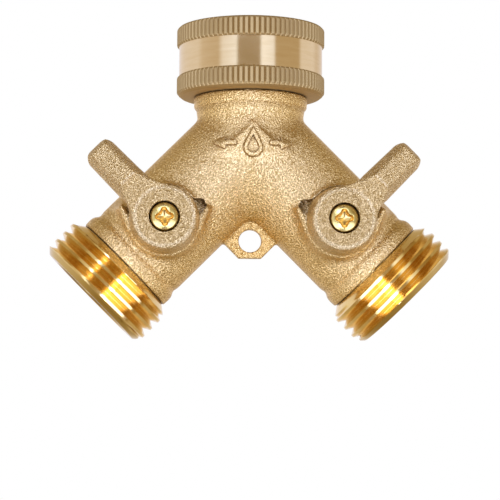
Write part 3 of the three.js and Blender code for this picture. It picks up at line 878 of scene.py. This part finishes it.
def floor():
    """A pale floor that is clear from below and that neither lamps nor reflections see."""
    size, z = 4.0, (LIFT - 42.5) * MM
    points = [(-size, -size, z), (size, -size, z), (size, size, z), (-size, size, z)]
    mesh = bpy.data.meshes.new("floor")
    mesh.from_pydata(points, [], [(0, 1, 2, 3)])
    obj = bpy.data.objects.new("floor", mesh)
    bpy.context.scene.collection.objects.link(obj)
    n = Nodes("floor")
    n.set(Base_Color=(0.90, 0.90, 0.89), Roughness=0.7)
    n.set(Emission_Color=(0.92, 0.96, 1.0), Emission_Strength=0.32)
    clear = n.add("ShaderNodeBsdfTransparent")
    side = n.add("ShaderNodeNewGeometry").outputs["Backfacing"]
    mixed = n.add("ShaderNodeMixShader")
    n.link(side, mixed.inputs[0])
    n.link(n.shader.outputs[0], mixed.inputs[1])
    n.link(clear.outputs[0], mixed.inputs[2])
    output = [node for node in n.tree.nodes if node.type == "OUTPUT_MATERIAL"][0]
    n.link(mixed.outputs[0], output.inputs["Surface"])
    mesh.materials.append(n.material)
    obj.visible_glossy = obj.visible_shadow = False  # the brass mirrors the room below, not the floor


def colour_band(tree, value, stops):
    """A colour for a value from 0 to 1, straight between the stops."""
    node = tree.nodes.new("ShaderNodeValToRGB")
    elements = node.color_ramp.elements
    while len(elements) < len(stops):
        elements.new(0.5)
    for element, (position, colour) in zip(elements, stops):
        element.position = position
        element.color = (*colour, 1)
    tree.links.new(value, node.inputs[0])
    return node.outputs[0]


def share(tree, value, low, high):
    node = tree.nodes.new("ShaderNodeMapRange")
    node.inputs[1].default_value, node.inputs[2].default_value = low, high
    tree.links.new(value, node.inputs[0])
    return node.outputs[0]


def reflected_room(tree):
    """Tall soft panels round a dim room, brighter level with the part than above or below it."""
    coords = tree.nodes.new("ShaderNodeTexCoord")
    parts = tree.nodes.new("ShaderNodeSeparateXYZ")
    tree.links.new(coords.outputs["Generated"], parts.inputs[0])
    x, y, z = parts.outputs
    flip = tree.nodes.new("ShaderNodeMath")
    flip.operation = "MULTIPLY"
    flip.inputs[1].default_value = -1
    tree.links.new(y, flip.inputs[0])
    turn = tree.nodes.new("ShaderNodeMath")
    turn.operation = "ARCTAN2"
    tree.links.new(x, turn.inputs[0])
    tree.links.new(flip.outputs[0], turn.inputs[1])

    # degrees to the right of the viewer's own direction, with how bright the room is there
    around = [(-180, 0.8), (-96, 0.8), (-86, 0.68), (-56, 0.62), (-48, 0.90), (-26, 1.0), (-22, 0.35),
              (11, 0.35), (15, 1.08), (34, 0.98), (38, 0.52), (80, 0.52), (86, 0.80), (116, 0.80),
              (128, 0.68), (180, 0.8)]
    stops = []
    for degrees, level in around:
        warm = min(max((1.0 - level) / 0.55, 0), 1)
        colour = (level, level * (1.08 - 0.30 * warm), level * (1.38 - 0.91 * warm))
        stops.append(((degrees + 180) / 360, colour))
    panels = colour_band(tree, share(tree, turn.outputs[0], -math.pi, math.pi), stops)

    # from straight down to straight up: how far up, how bright and how warm
    rising = [(0.0, 0.5, 1.0), (0.12, 0.55, 1.0), (0.3, 0.85, 0.5), (0.42, 1.0, 0.2), (0.52, 1.05, 0.0),
              (0.64, 1.0, 0.0), (0.72, 0.68, 0.7), (0.83, 0.56, 1.0), (1.0, 0.48, 1.0)]
    stops = []
    for position, level, warm in rising:
        stops.append((position, (level, level * (1 - 0.18 * warm), level * (1 - 0.55 * warm))))
    height = colour_band(tree, share(tree, z, -1, 1), stops)

    both = tree.nodes.new("ShaderNodeMix")
    both.data_type, both.blend_type = "RGBA", "MULTIPLY"
    both.inputs[0].default_value = 1
    tree.links.new(panels, both.inputs[6])
    tree.links.new(height, both.inputs[7])
    return both.outputs[2]


def studio():
    """White for the camera, and a warm dim room with bright panels for everything else."""
    world = bpy.data.worlds.new("studio")
    bpy.context.scene.world = world
    world.use_nodes = True
    tree = world.node_tree
    tree.nodes.clear()
    add, link = tree.nodes.new, tree.links.new
    room = add("ShaderNodeBackground")
    room.inputs["Strength"].default_value = 1.12
    link(reflected_room(tree), room.inputs["Color"])
    seen = add("ShaderNodeBackground")
    seen.inputs["Color"].default_value = (1, 1, 1, 1)
    path = add("ShaderNodeLightPath")
    mixed = add("ShaderNodeMixShader")
    out = add("ShaderNodeOutputWorld")
    link(path.outputs["Is Camera Ray"], mixed.inputs[0])
    link(room.outputs[0], mixed.inputs[1])
    link(seen.outputs[0], mixed.inputs[2])
    link(mixed.outputs[0], out.inputs["Surface"])


def panel(name, place, size, power):
    """A cool area lamp, aimed at the middle of the part."""
    aim = Vector((0, 0, 0.014))
    data = bpy.data.lights.new(name, "AREA")
    data.shape, data.size, data.size_y, data.energy = "RECTANGLE", size[0], size[1], power
    data.color = (0.86, 1.0, 1.55)
    obj = bpy.data.objects.new(name, data)
    obj.location = place
    obj.rotation_euler = (aim - Vector(place)).to_track_quat("-Z", "Y").to_euler()
    bpy.context.scene.collection.objects.link(obj)


def camera():
    """Stands low on the left and looks up at the part, as close as the photograph was taken."""
    place = Vector((-19.6, -388, -57 + LIFT)) * MM
    forward = Vector((0.0504, 0.9949, 0.0878)).normalized()
    data = bpy.data.cameras.new("camera")
    data.sensor_width, data.lens = 36, 134.9
    obj = bpy.data.objects.new("camera", data)
    roll = Matrix.Rotation(math.radians(0.28), 4, "Z")
    facing = forward.to_track_quat("-Z", "Y").to_matrix().to_4x4()
    obj.matrix_world = Matrix.Translation(place) @ facing @ roll
    bpy.context.scene.collection.objects.link(obj)
    bpy.context.scene.camera = obj


floor()
studio()
panel("key", (-0.05, -0.50, 0.28), (0.36, 0.20), 1.15)
panel("front", (0.0, -0.48, -0.17), (0.26, 0.16), 0.82)
panel("low left", (-0.33, -0.37, -0.26), (0.46, 0.32), 1.15)
panel("low right", (0.33, -0.37, -0.26), (0.46, 0.32), 1.15)
camera()
bpy.context.scene.view_settings.view_transform = "Standard"
